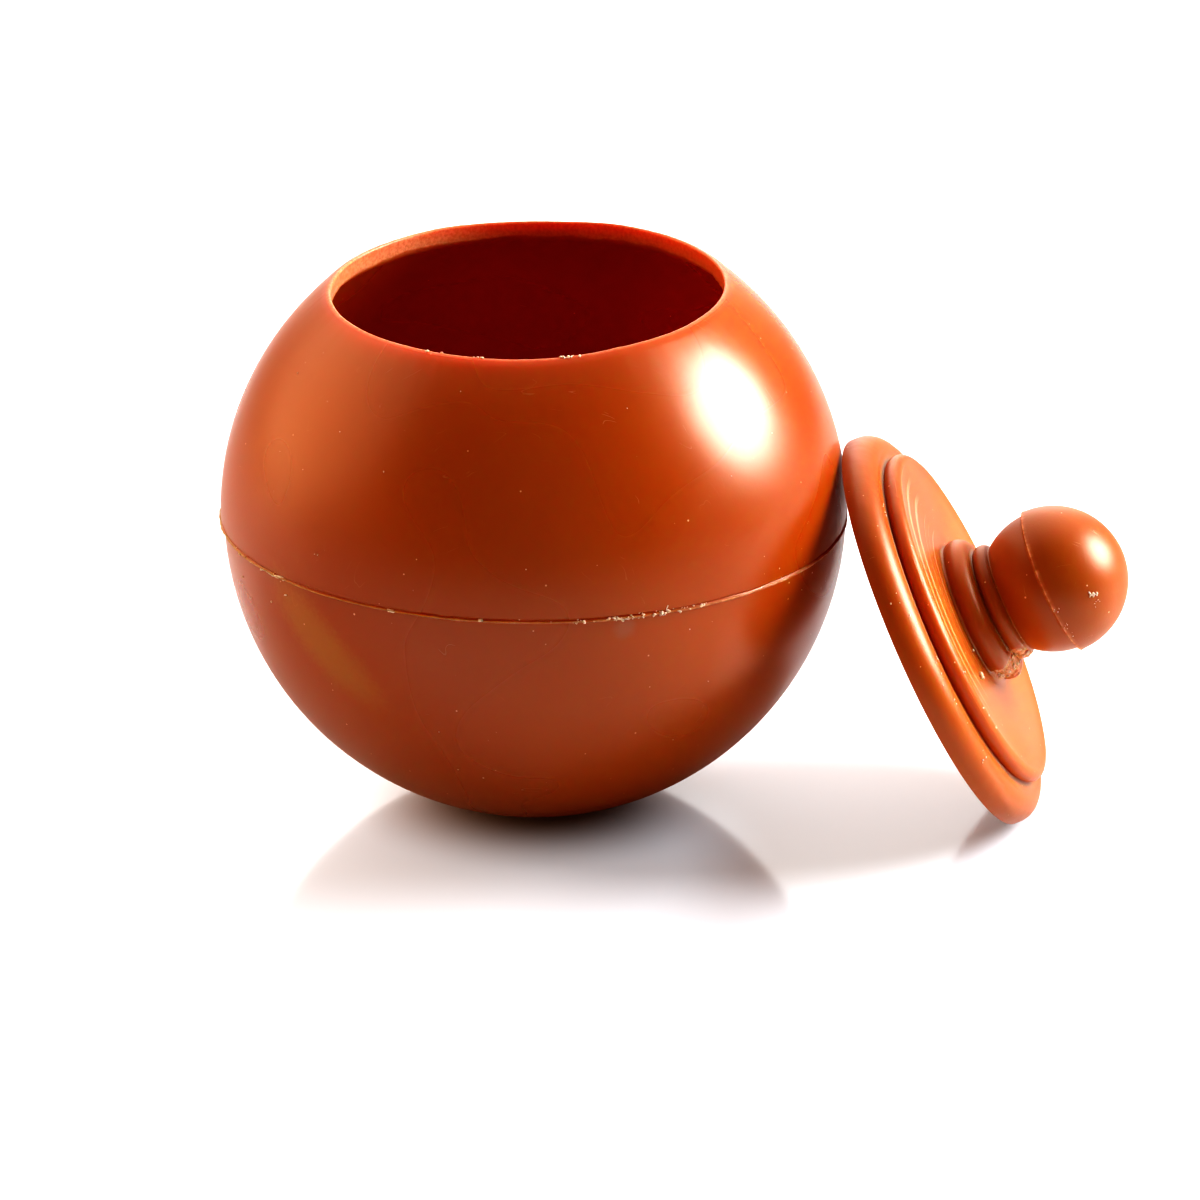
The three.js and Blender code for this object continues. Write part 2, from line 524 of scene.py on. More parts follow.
@dataclass(frozen=True)
class Chocolate:
    """Caramel-red moulded chocolate with a satin skin. Light runs some millimetres into it, red furthest."""

    name: str
    deep: Colour = (0.39, 0.078, 0.001)
    warm: Colour = (0.45, 0.100, 0.002)
    bare: Colour = (0.94, 0.56, 0.33)
    speck: Colour = (0.95, 0.62, 0.38)
    roughness: float = 0.29
    gloss: float = 0.8
    gloss_tint: Colour = (1.0, 0.93, 0.82)
    ior: float = 1.48
    scatter: float = 0.56
    scatter_reach: Triple = (1.0, 0.12, 0.03)
    scatter_depth: float = 10.0
    scuffed: float = 0.10
    speck_share: float = 0.16
    grain: float = 0.30
    relief: float = 0.35
    turned: bool = False
    patches: tuple[Patch, ...] = ()

    def material(self, effects: Effects, seat: Matrix | None = None) -> bpy.types.Material:
        """Builds the material.

        Args:
            effects: The shared effects.
            seat: Where the piece's own axis stands, in metres, for what runs round that axis.

        Returns:
            The material.
        """
        material, wires, shader = blank_material(self.name)
        place = wires.node("TexCoord").outputs["Object"]
        own = self._own_place(wires, place, seat)
        specks = effects.specks.placed(wires, place, Share=self.speck_share)
        scuffs = effects.scuffs.placed(wires, place)
        bare = wires.node("Attribute", attribute_name=BARE).outputs["Fac"]
        grainy = wires.range(wires.noise(place, 1500.0, detail=3.0, roughness=0.6), 0.3, 0.7, 0.45, 1.0)
        cut = wires.times(bare, grainy)
        colour = wires.blend(effects.clouds.placed(wires, place), self.deep, self.warm)
        for patch in self.patches:
            colour = wires.blend(patch.mask(wires, effects, own), colour, patch.tint)
        # The bare colour is the cut, broken chocolate, and also painted light on the mouth's cut wall at its
        # left and along the seam's ridge.
        colour = wires.blend(cut, colour, self.bare)
        heights = [effects.skin.placed(wires, place, Grain=self.grain)]
        if self.turned:
            rings = effects.turning.placed(wires, own)
            colour = wires.blend(wires.times(rings, 0.4), colour, self.bare)
            heights.append(wires.times(rings, 5.0))
        colour = wires.blend(wires.times(specks, 0.8), colour, self.speck)
        colour = wires.blend(wires.times(scuffs, self.scuffed), colour, self.speck)
        height = wires.plus(*heights, wires.times(specks, 0.4), cut)
        worn = wires.plus(wires.times(specks, 0.3), wires.times(scuffs, 0.2), wires.times(bare, 0.3))
        cloudy = wires.range(wires.noise(place, 40.0, detail=0.0), 0.3, 0.7, self.roughness - 0.03,
                             self.roughness + 0.05)
        bump = wires.node("Bump", {"Height": height, "Strength": self.relief, "Distance": RELIEF})
        wires.fill(shader, {
            "Base Color": colour,
            "Roughness": wires.math("ADD", cloudy, worn, clamp=True),
            "Normal": bump.outputs[0],
            "IOR": self.ior,
            "Specular IOR Level": self.gloss,
            "Specular Tint": self.gloss_tint,
            "Subsurface Weight": self.scatter,
            "Subsurface Radius": self.scatter_reach,
            "Subsurface Scale": self.scatter_depth * MM,
        })
        return material

    @staticmethod
    def _own_place(wires: Wiring, place: Socket, seat: Matrix | None) -> Socket:
        """Gives places in the piece's own frame.

        Args:
            wires: The material's wiring.
            place: Places in the row's frame.
            seat: Where the piece's own frame stands, or None for the row's frame.

        Returns:
            The socket of the places.
        """
        if seat is None:
            return place
        values = {"Location": tuple(seat.to_translation()), "Rotation": tuple(seat.to_euler())}
        return wires.node("Mapping", {"Vector": place, **values}, vector_type="TEXTURE").outputs[0]


@dataclass(frozen=True)
class CrumbFinish:
    """Broken chocolate: matt, pale and grainy."""

    name: str
    dark: Colour
    light: Colour
    relief: float = 0.5
    scatter: float = 0.3
    scatter_reach: Triple = (1.0, 0.5, 0.25)
    scatter_depth: float = 1.0

    def material(self) -> bpy.types.Material:
        """Builds the material."""
        material, wires, shader = blank_material(self.name)
        grain = wires.noise(wires.node("TexCoord").outputs["Object"], 2500.0, detail=3.0, roughness=0.6)
        bump = wires.node("Bump", {"Height": grain, "Strength": self.relief, "Distance": RELIEF})
        wires.fill(shader, {
            "Base Color": wires.blend(wires.range(grain, 0.35, 0.65), self.dark, self.light),
            "Roughness": wires.range(grain, 0.3, 0.7, 0.45, 0.7),
            "Normal": bump.outputs[0],
            "Subsurface Weight": self.scatter,
            "Subsurface Radius": self.scatter_reach,
            "Subsurface Scale": self.scatter_depth * MM,
        })
        return material


# Pieces


@dataclass
class Pot:
    """The hollow ball: two moulded halves, the seam between them, and the mouth cut through the upper one."""

    lower: Half = Half(60.05, 59.9)
    upper: Half = Half(60.4, 58.6)
    upper_shift: float = -0.28
    wall: float = 3.0
    foot_radius: float = 9.0
    seam_drop: float = 0.5
    seam_zone: float = 1.1
    seam_step: float = 0.02
    flash_height: float = 0.5
    flash_width: float = 0.6
    groove_depth: float = 0.22
    groove_width: float = 0.5
    mouth_radius: float = 38.2
    lip_depth: float = 3.25
    lip_round: float = 0.4
    mouth_dip: float = 0.5
    seam_turn: Pair = (0.0, 0.15)
    mouth_turn: Pair = (2.3, -1.25)
    segments: int = 360
    surface: BVHTree | None = field(default=None, repr=False)

    def __post_init__(self) -> None:
        """Works out the levels that the other sizes give."""
        self.foot_level = -self.lower.level(self.foot_radius)
        self.mouth_level = self.upper.level(self.mouth_radius)
        self.lip_bottom = self.mouth_level - self.lip_depth

    def outline(self) -> Outline:
        """Draws the section, from the foot up the outside, over the lip and down the inside."""
        lower, upper = self.lower, self.upper
        inner_lower, inner_upper = lower.thinner(self.wall), upper.thinner(self.wall)
        seam_low, seam_high = -self.seam_drop - self.seam_zone, -self.seam_drop + self.seam_zone
        crown = (self.mouth_radius - self.lip_round, self.mouth_level - self.lip_round)
        outline = Outline()
        outline.to(0.0, self.foot_level)
        outline.to(self.foot_radius * 0.6, self.foot_level)
        for half, start, end, steps in (
                (lower, self.foot_level, seam_low, 48),
                (lower, seam_low + 0.08, -self.seam_drop - self.seam_step, 13),
                (upper, -self.seam_drop + self.seam_step, seam_high, 13),
                (upper, seam_high + 0.3, self.mouth_level - 0.25, 36)):
            half.trace(outline, half.angle(start), half.angle(end), steps)
        outline.bend(crown, self.lip_round, 48, 180, steps=6)
        for step in range(1, 8):
            share = step / 8
            outline.to(crown[0] - self.lip_round * (1 - 0.3 * share),
                       crown[1] + (self.lip_bottom - crown[1]) * share)
        inner_upper.trace(outline, inner_upper.angle(self.lip_bottom), 1.5, steps=18)
        inner_lower.trace(outline, -1.5, -90.0, steps=28)
        return outline

    def flash(self, angle: float, level: float) -> Pair:
        """Gives the shape of the seam: a ridge of flash with a fine groove over it.

        Args:
            angle: Place round the ball, in radians.
            level: Height over the equator.

        Returns:
            The distance from the plain surface, and how bare it is.
        """
        half_width = self.flash_width / 2 * (1 + 0.35 * ripple(angle, 26, 7.7))
        ridge_level = -self.seam_drop - 0.15 + 0.10 * ripple(angle, 7, 3.1)
        left_side = smooth_step(-math.cos(angle), 0.55, 0.95)
        height = 0.62 + 0.30 * ripple(angle, 5, 1.3) + 0.38 * ripple(angle, 55, 5.2) + 0.35 * left_side
        ridge = hump(level, ridge_level, half_width)
        groove = hump(level, ridge_level + half_width + self.groove_width * 0.3, self.groove_width / 2)
        proud = self.flash_height * max(height, 0.05) * ridge
        proud -= self.groove_depth * (0.9 + 0.6 * ripple(angle, 9, 6.6)) * groove
        # The ridge's paleness is partly torn flash without skin and partly a painted light line along its lit
        # underside.
        torn = smooth_step(ripple(angle, 34, 9.1) + 0.5 * left_side, -0.1, 0.5)
        return proud, 0.75 * ridge * (0.35 + 0.65 * torn)

    def cut(self, angle: float) -> float:
        """Gives how far the hand-cut edge strays from a level ring, upwards."""
        dip = -self.mouth_dip * abs(math.sin(angle)) ** 12
        return dip + 0.12 + 0.14 * ripple(angle, 3.5, 11.0) + 0.05 * ripple(angle, 40, 4.4)

    def lip(self, angle: float, distance: float, level: float) -> Pair:
        """Gives what the knife left on the mouth's wall: a ragged lower line, no skin, and painted light that
        makes its left side paler.

        Args:
            angle: Place round the ball, in radians.
            distance: From the axis.
            level: Height over the equator.

        Returns:
            How far the place moves up, and how bare it is, with painted light added on the left side.
        """
        lowest = self.lip_bottom - 2.0
        if distance > self.mouth_radius - 0.02 or level < lowest:
            return 0.0, 0.0
        near_line = smooth_step(level, lowest, self.lip_bottom)
        near_line *= 1 - smooth_step(level, self.lip_bottom, self.mouth_level - 0.6)
        stray = 0.45 * ripple(angle, 6, 21.0) + 0.30 * ripple(angle, 24, 22.0)
        bare = smooth_step(level, self.lip_bottom - 0.15, self.lip_bottom + 0.15)
        # Painted light: the cut wall is made paler on its left side, where light falls on it. The rest of the
        # bareness is the bare cut.
        left_side = smooth_step(-math.cos(angle), 0.1, 0.8)
        return stray * near_line, (0.26 + 0.3 * left_side) * bare

    def settle(self, point: Vector) -> tuple[Vector, float]:
        """Puts a point of the spun ball in its place.

        The seam gets its ridge and the mouth its uneven cut. Every level turns a little about the ball's
        centre, and the upper half moves to its place on the lower one.

        Args:
            point: A place on the spun ball, about the ball's centre.

        Returns:
            The place in the row's frame, and how bare it is.
        """
        angle, level = math.atan2(point.y, point.x), point.z
        distance = math.hypot(point.x, point.y)
        proud, bare = 0.0, 0.0
        if distance > self.upper.radius - self.wall / 2 and abs(level + self.seam_drop) < self.seam_zone:
            proud, bare = self.flash(angle, level)
        stray, cut_bare = self.lip(angle, distance, level)
        cut_share = smooth_step(level, self.lip_bottom - 4.0, self.mouth_level)
        lift = self.cut(angle) * cut_share + stray
        swell = (distance + proud) / distance if distance else 1.0
        moved = Vector((point.x * swell, point.y * swell, level + lift))
        low = smooth_step(level, self.foot_level, 0.0)
        high = smooth_step(level, 0.0, self.lip_bottom)
        turns = [math.radians(seam * low * (1 - high) + mouth * high)
                 for seam, mouth in zip(self.seam_turn, self.mouth_turn)]
        moved = Matrix.Rotation(turns[0], 3, "X") @ Matrix.Rotation(turns[1], 3, "Y") @ moved
        shift = self.upper_shift * smooth_step(level, -self.seam_drop - self.seam_step,
                                               -self.seam_drop + self.seam_step)
        return moved + Vector((shift, 0.0, -self.foot_level)), max(bare, cut_bare)

    def build(self, finish: Chocolate, effects: Effects) -> None:
        """Builds the ball, which stands for the frame's own.

        Args:
            finish: Its chocolate.
            effects: The shared effects.
        """
        mesh = self.outline().spun(self.segments)
        reshape(mesh, self.settle)
        bmesh.ops.recalc_face_normals(mesh, faces=mesh.faces)
        self.surface = BVHTree.FromBMesh(mesh)
        piece = finished(mesh, "honey_pot_ball", finish.material(effects))
        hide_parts("pot")

    def drop(self, side: Side, place: Pair) -> tuple[Vector, Vector]:
        """Gives the line along which a crumb drops onto the ball.

        Args:
            side: ONTO_BALL or ONTO_RIM.
            place: For the ball, degrees from the front to the right, and the height over the equator. For the
                rim, degrees from the front to the right, and the distance inwards from the mouth's edge.

        Returns:
            Its start and its heading.
        """
        angle = math.radians(place[0])
        outwards = Vector((math.sin(angle), -math.cos(angle), 0.0))
        if side is Side.ONTO_BALL:
            start = outwards * self.upper.radius * 2 + Vector((0.0, 0.0, place[1] - self.foot_level))
            return start, -outwards
        turn_x, turn_y = (math.radians(turn) for turn in self.mouth_turn)
        middle = Vector((turn_y, -turn_x, 0.0)) * self.mouth_level
        start = middle + outwards * (self.mouth_radius - place[1])
        return start + Vector((self.upper_shift, 0.0, self.upper.height * 3)), Vector((0.0, 0.0, -1.0))


@dataclass
class Lid:
    """The lid: two round-edged tiers, two neck rings and a ball of two halves, leaning on the pot."""

    tier_radius: float = 40.3
    tier_height: float = 5.9
    tier_round: float = 4.3
    edge_round: float = 0.4
    bead_radius: float = 34.2
    bead_round: float = 1.75
    bead_top: float = 8.9
    plate_top: float = 8.7
    collar_radius: float = 14.7
    collar_round: float = 2.8
    collar_level: float = 10.7
    neck_radius: float = 11.75
    neck_round: float = 1.75
    neck_level: float = 15.2
    knob_level: float = 25.8
    knob_inner: float = 13.8
    knob_outer: float = 14.4
    rise: float = 26.6
    turn: float = -5.4
    break_angle: float = -32.0
    break_reach: Pair = (17.0, 25.0)
    break_depth: float = 1.3
    segments: int = 288
    surface: BVHTree | None = field(default=None, repr=False)
    seat: Matrix = field(default_factory=lambda: Matrix.Identity(4), repr=False)

    def outline(self) -> Outline:
        """Draws the section, from the underside's middle out and up to the knob's top."""
        knob = (0.0, self.knob_level)
        knob_start = math.asin((self.neck_level + self.neck_round - self.knob_level) / self.knob_inner)
        outline = Outline()
        for step in range(5):
            outline.to(self.tier_radius * step / 5, 0.0)
        for radius, level, curve, start, end, steps in (
                (self.tier_radius, self.edge_round, self.edge_round, -90, 0, 4),
                (self.tier_radius, self.tier_height - self.tier_round, self.tier_round, 0, 90, 16),
                (self.bead_radius, self.bead_top - self.bead_round, self.bead_round, -62, 105, 14)):
            outline.bend((radius - curve, level), curve, start, end, steps)
        for distance in (30.0, 28.0, 26.0, 23.0, 20.0, 17.5, 15.5, 14.6):
            outline.to(distance, self.plate_top)
        for radius, level, curve, start, end, steps in (
                (self.collar_radius, self.collar_level, self.collar_round, -40, 84, 14),
                (self.neck_radius, self.neck_level, self.neck_round, -70, 66, 12)):
            outline.bend((radius - curve, level), curve, start, end, steps)
        outline.bend(knob, self.knob_inner, math.degrees(knob_start), -0.8, steps=22)
        outline.bend(knob, self.knob_outer, -0.5, 1.0, steps=3)
        outline.bend(knob, self.knob_outer, 3.0, 90.0, steps=38)
        return outline

    def weather(self, point: Vector) -> tuple[Vector, float]:
        """Gives a point of the spun lid its hand-made wear.

        The tiers are a little wavy, the ledge at the knob's seam is ragged, and the neck is broken on a side.

        Args:
            point: A place on the spun lid.

        Returns:
            The worn place, and how bare it is.
        """
        angle, distance = math.atan2(point.y, point.x), math.hypot(point.x, point.y)
        if distance < 1.0:
            return point.copy(), 0.0
        swell = 0.0
        if point.z < self.bead_top + 0.2 and distance > self.collar_radius + 1:
            upper = smooth_step(point.z, 0.2, 2.0)
            swell = 0.10 * ripple(angle, 4, 2.0) * upper + 0.06 * ripple(angle, 30, point.z * 0.4) * upper
        ledge = 1 - min(abs(point.z - self.knob_level) / 0.35, 1.0)
        swell += ledge * (0.10 + 0.22 * ripple(angle, 30, 8.8) + 0.15 * ripple(angle, 4, 5.0))
        worn = Vector((point.x * (1 + swell / distance), point.y * (1 + swell / distance), point.z))
        bite, broken = self._broken(worn, angle)
        torn = smooth_step(ripple(angle, 12, 6.0), -0.3, 0.4)
        return worn + bite, max(broken, ledge * (0.3 + 0.6 * torn))

    def _broken(self, point: Vector, angle: float) -> tuple[Vector, float]:
        """Wears away a point in the break in the neck.

        Args:
            point: A place on the lid.
            angle: Its place round the lid, in radians.

        Returns:
            How the point moves, and how bare it is.
        """
        away = abs((math.degrees(angle) - self.break_angle + 180) % 360 - 180)
        ragged = 4.0 * noise.noise(Vector((point.z * 0.9, angle * 6.0, 3.0)))
        share = 1 - smooth_step(away + ragged, *self.break_reach)
        share *= smooth_step(point.z, self.plate_top + 0.1, self.plate_top + 0.8)
        share *= 1 - smooth_step(point.z, self.neck_level + 0.6, self.neck_level + 1.8)
        if share <= 0:
            return Vector(ORIGIN), 0.0
        rough = noise.fractal(point * 0.9, 0.8, 2.2, 4)
        outwards = Vector((math.cos(angle), math.sin(angle), 0.0))
        depth = self.break_depth * (1 - 0.7 * smooth_step(point.z, self.collar_level + 1.5, self.neck_level))
        return outwards * -share * (depth + 0.8 * rough) + Vector((0.0, 0.0, share * rough * 0.4)), share

    def lean(self) -> Matrix:
        """Gives the lid's place against the pot, in metres, worked out from the frame's own lid."""
        turned = Matrix.Rotation(math.radians(self.turn), 4, "Z") @ Matrix.Rotation(
            math.radians(90 - self.rise), 4, "Y")
        low, high = (Vector(corner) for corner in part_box("lid"))
        reach = Vector(math.hypot(row[0], row[1]) for row in turned.to_3x3()) * self.tier_radius * MM
        return Matrix.Translation((low.x + reach.x, (low.y + high.y) / 2, low.z + reach.z)) @ turned

    def build(self, finish: Chocolate, effects: Effects) -> None:
        """Builds the lid, which stands for the frame's own.

        Args:
            finish: Its chocolate.
            effects: The shared effects.
        """
        self.seat = self.lean()
        mesh = self.outline().spun(self.segments)
        reshape(mesh, self.weather)
        bmesh.ops.transform(mesh, matrix=self.seat_mm(), verts=mesh.verts)
        bmesh.ops.recalc_face_normals(mesh, faces=mesh.faces)
        self.surface = BVHTree.FromBMesh(mesh)
        piece = finished(mesh, "honey_pot_lid", finish.material(effects, self.seat))
        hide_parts("lid")

    def seat_mm(self) -> Matrix:
        """Gives the lid's place in millimetres."""
        return Matrix.Translation(self.seat.to_translation() / MM) @ self.seat.to_3x3().to_4x4()

    def drop(self, side: Side, place: Pair) -> tuple[Vector, Vector]:
        """Gives the line along which a crumb drops onto the lid.

        Args:
            side: ONTO_PLATE, ONTO_NECK or ONTO_KNOB.
            place: Degrees round the axis, and for the plate the distance from it, for the neck the height
                over the underside, and for the knob degrees up it.

        Returns:
            Its start and its heading.
        """
        angle = math.radians(place[0])
        outwards = Vector((math.cos(angle), math.sin(angle), 0.0))
        upwards = Vector((0.0, 0.0, 1.0))
        if side is Side.ONTO_PLATE:
            end = outwards * place[1]
            start = end + upwards * 60.0
        elif side is Side.ONTO_NECK:
            end = upwards * place[1]
            start = end + outwards * self.bead_radius
        else:
            rise = math.radians(place[1])
            end = upwards * self.knob_level
            start = end + (outwards * math.cos(rise) + upwards * math.sin(rise)) * self.knob_outer * 2
        seat = self.seat_mm()
        return seat @ start, (seat.to_3x3() @ (end - start)).normalized()


# Crumbs


@dataclass(frozen=True)
class Crumb:
    """One crumb: where it lies, its length, width and thickness, and its turn in degrees."""

    side: Side
    place: Pair
    size: Triple
    turn: float = 0.0


def even(low: float, high: float) -> Pick:
    """Gives a draw of any number between two."""
    return lambda draw: draw.uniform(low, high)


def near(middle: float, spread: float) -> Pick:
    """Gives a draw of numbers round a middle."""
    return lambda draw: draw.gauss(middle, spread)


def just(value: float) -> Pick:
    """Gives a draw that is always the same number."""
    return lambda draw: value


@dataclass(frozen=True)
class Heap:
    """A few crumbs strewn over one place. Widths and thicknesses are shares of the length."""

    side: Side
    count: int
    place: tuple[Pick, Pick]
    length: Pick
    width: Pick = just(0.6)
    thickness: Pick = just(0.4)
    turn: Pick = even(0.0, 180.0)

    def strewn(self, draw: random.Random) -> list[Crumb]:
        """Makes the crumbs. Each draws its length, place, width, thickness and turn, in that order.

        Args:
            draw: Where the random numbers come from.

        Returns:
            The crumbs.
        """
        crumbs = []
        for _ in range(self.count):
            long = self.length(draw)
            place = (self.place[0](draw), self.place[1](draw))
            size = (long, long * self.width(draw), long * self.thickness(draw))
            crumbs.append(Crumb(self.side, place, size, self.turn(draw)))
        return crumbs


def strewn(seed: int, heaps: list[Heap]) -> list[Crumb]:
    """Gives the crumbs of some heaps, drawn in order from one seed."""
    draw = random.Random(seed)
    return [crumb for heap in heaps for crumb in heap.strewn(draw)]


@dataclass
class Crumbs:
    """Many crumbs of one tone on one piece, as one mesh."""

    name: str
    host: Pot | Lid
    slot: Slot
    crumbs: list[Crumb]
    seed: int = 1

    def build(self, finish: CrumbFinish) -> None:
        """Builds the crumbs as one object, each a third sunk in what it lies on.

        Args:
            finish: What they are made of.
        """
        mesh = bmesh.new()
        for number, crumb in enumerate(self.crumbs):
            start, heading = self.host.drop(crumb.side, crumb.place)
            spot, normal, _, _ = self.host.surface.ray_cast(start, heading)
            if spot is not None:
                self._add(mesh, crumb, spot, normal, number)
        finished(mesh, self.name, finish.material())

    def _add(self, mesh: Mesh, crumb: Crumb, spot: Vector, normal: Vector, number: int) -> None:
        """Adds one crumb: a small ball of flat faces, pulled out of shape.

        Args:
            mesh: What it is added to.
            crumb: Its size and turn.
            spot: Where it lies.
            normal: The way that the surface faces there.
            number: Its number, for a shape of its own.
        """
        made = bmesh.ops.create_icosphere(mesh, subdivisions=2, radius=0.5)["verts"]
        for vertex in made:
            bump = 1 + 0.55 * noise.noise(vertex.co * 3.1 + Vector((number * 7.3, self.seed * 3.7, 0.0)))
            vertex.co = vertex.co * bump
        upright = normal.to_track_quat("Z", "Y").to_matrix().to_4x4()
        turn = Matrix.Rotation(math.radians(crumb.turn), 4, "Z")
        sink = Matrix.Translation((0.0, 0.0, crumb.size[2] * 0.2))
        shape = Matrix.Diagonal((*crumb.size, 1.0))
        place = Matrix.Translation(spot) @ upright @ turn @ sink @ shape
        bmesh.ops.transform(mesh, matrix=place, verts=made)


def seam_crumbs() -> list[Crumb]:
    """Lists the pale crumbs along the seam: clusters where the flash broke, and slivers at the left."""
    draw = random.Random(5)
    crumbs: list[Crumb] = []
    for middle, spread, count in ((8.0, 4.0, 9), (14.6, 1.8, 16), (17.0, 1.6, 13), (20.5, 2.2, 12),
                                  (24.2, 2.0, 20), (28.0, 1.8, 8), (31.2, 1.2, 10), (-52.0, 4.5, 8),
                                  (-66.0, 6.0, 7)):
        cluster = Heap(Side.ONTO_BALL, count, (near(middle, spread / 2), near(-0.55, 0.22)), even(0.25, 0.72),
                       even(0.5, 0.9), even(0.4, 0.7))
        crumbs += cluster.strewn(draw)
    for _ in range(26):
        long = draw.uniform(0.5, 1.6)
        crumbs.append(Crumb(Side.ONTO_BALL, (draw.uniform(-69.0, -52.5), draw.gauss(-0.75, 0.08)),
                            (long, long * 0.25, 0.22), draw.gauss(0, 6)))
    return crumbs + [
        Crumb(Side.ONTO_BALL, (-51.6, -0.2), (3.2, 0.45, 0.35), 10.0),
        Crumb(Side.ONTO_BALL, (-68.6, -1.5), (0.7, 0.5, 0.4)),
        Crumb(Side.ONTO_BALL, (-58.5, -1.0), (0.9, 0.5, 0.4), 30.0),
        Crumb(Side.ONTO_BALL, (-25.5, -0.5), (1.9, 0.7, 0.5)),
        Crumb(Side.ONTO_BALL, (-9.0, -0.4), (0.9, 0.8, 0.5)),
        Crumb(Side.ONTO_BALL, (24.4, 0.4), (0.9, 0.25, 0.2), 60.0),
    ]


def ball_crumbs() -> list[Crumb]:
    """Lists the tiny crumbs scattered over the ball's outside."""
    all_over = Heap(Side.ONTO_BALL, 70, (even(-180, 180), even(-42, 42)), even(0.12, 0.34), even(0.5, 1.0),
                    just(0.5))
    return [
        Crumb(Side.ONTO_BALL, (-67.9, -5.9), (0.5, 0.35, 0.25)),
        Crumb(Side.ONTO_BALL, (-64.5, -9.0), (0.5, 0.3, 0.25), 40.0),
        Crumb(Side.ONTO_BALL, (-55.8, -6.7), (0.55, 0.35, 0.25), 70.0),
        Crumb(Side.ONTO_BALL, (-50.8, -3.7), (0.9, 0.3, 0.25), 20.0),
        *strewn(11, [all_over]),
    ]


def rim_crumbs() -> list[Crumb]:
    """Lists the crumbs that the knife left on the mouth's edge."""
    return strewn(23, [
        Heap(Side.ONTO_RIM, count, (near(middle, spread / 1.5), even(0.1, 0.7)), even(0.3, 0.8),
             even(0.5, 0.9), just(0.6))
        for middle, spread, count in ((12.0, 2.4, 9), (-14.0, 1.6, 4), (-28.0, 3.0, 3))])


def neck_crumbs(lid: Lid) -> list[Crumb]:
    """Lists the crumbs in the break of the lid's neck."""
    place = (near(lid.break_angle, 10.0), even(9.4, 16.4))
    return strewn(37, [Heap(Side.ONTO_NECK, 36, place, even(0.4, 1.2), even(0.5, 0.9), even(0.3, 0.5))])


def pale_lid_crumbs() -> list[Crumb]:
    """Lists the pale crumbs on the lid's plate, on its knob and along the knob's seam."""
    on_knob = [
        Heap(Side.ONTO_KNOB, count, (near(round_it, 2.6), near(up_it, 2.2)), even(0.4 * large, 1.0 * large))
        for round_it, up_it, count, large in ((-81.0, 32.5, 12, 0.8), (-73.0, 33.0, 5, 0.5),
                                              (-86.0, 3.0, 4, 0.35), (-72.0, 3.5, 4, 0.35),
                                              (-60.0, 2.5, 4, 0.35))]
    on_tiers = [
        Heap(Side.ONTO_PLATE, 4, (near(angle, 3.0), near(distance, 0.4)), even(0.2, 0.6))
        for angle, distance in ((-150.0, 36.0), (-118.0, 39.5), (-101.0, 36.5), (-96.0, 38.0), (-92.0, 33.5),
                                (-84.0, 37.0), (-74.0, 33.0), (-66.0, 38.5))]
    return [
        Crumb(Side.ONTO_PLATE, (-76.619, 21.175), (1.6, 1.0, 1.0), 30.0),
        Crumb(Side.ONTO_PLATE, (-73.247, 20.469), (0.8, 0.6, 0.7)),
        Crumb(Side.ONTO_PLATE, (-85.764, 16.244), (0.7, 0.5, 0.5)),
        *strewn(41, on_knob + on_tiers),
    ]


# Studio


@dataclass(frozen=True)
class Panel:
    """A round soft panel light. Its heading is from the object, and its distance and width are in metres."""

    name: str
    heading: Triple
    distance: float
    width: float
    watts: float
    tint: Colour

    def build(self, target: Vector) -> None:
        """Adds the light.

        Args:
            target: What it faces.
        """
        data = bpy.data.lights.new(self.name, "AREA")
        data.shape = "DISK"
        data.size = self.width
        data.energy = self.watts
        data.color = self.tint
        light = in_scene(self.name, data)
        heading = Vector(self.heading).normalized()
        light.location = target + heading * self.distance
        light.rotation_euler = heading.to_track_quat("Z", "Y").to_euler()


@dataclass(frozen=True)
class Glow:
    """A soft bright part of the surroundings. A higher focus makes it smaller."""

    round_it: float
    up: float
    focus: float
    strength: float
    tint: Colour = (1.0, 0.97, 0.94)

    def light(self, wires: Wiring, way: Socket) -> Socket:
        """Builds the glow's light.

        Args:
            wires: The world's wiring.
            way: The way that is looked.

        Returns:
            The socket of its light that way.
        """
        turn, rise = math.radians(self.round_it), math.radians(self.up)
        middle = (math.sin(turn) * math.cos(rise), math.cos(turn) * math.cos(rise), math.sin(rise))
        facing = wires.math("MAXIMUM", wires.vector("DOT_PRODUCT", way, middle), 0.0)
        near_it = wires.math("POWER", facing, self.focus)
        values = {0: self.tint, "Scale": wires.times(near_it, self.strength)}
        return wires.node("VectorMath", values, operation="SCALE").outputs["Vector"]


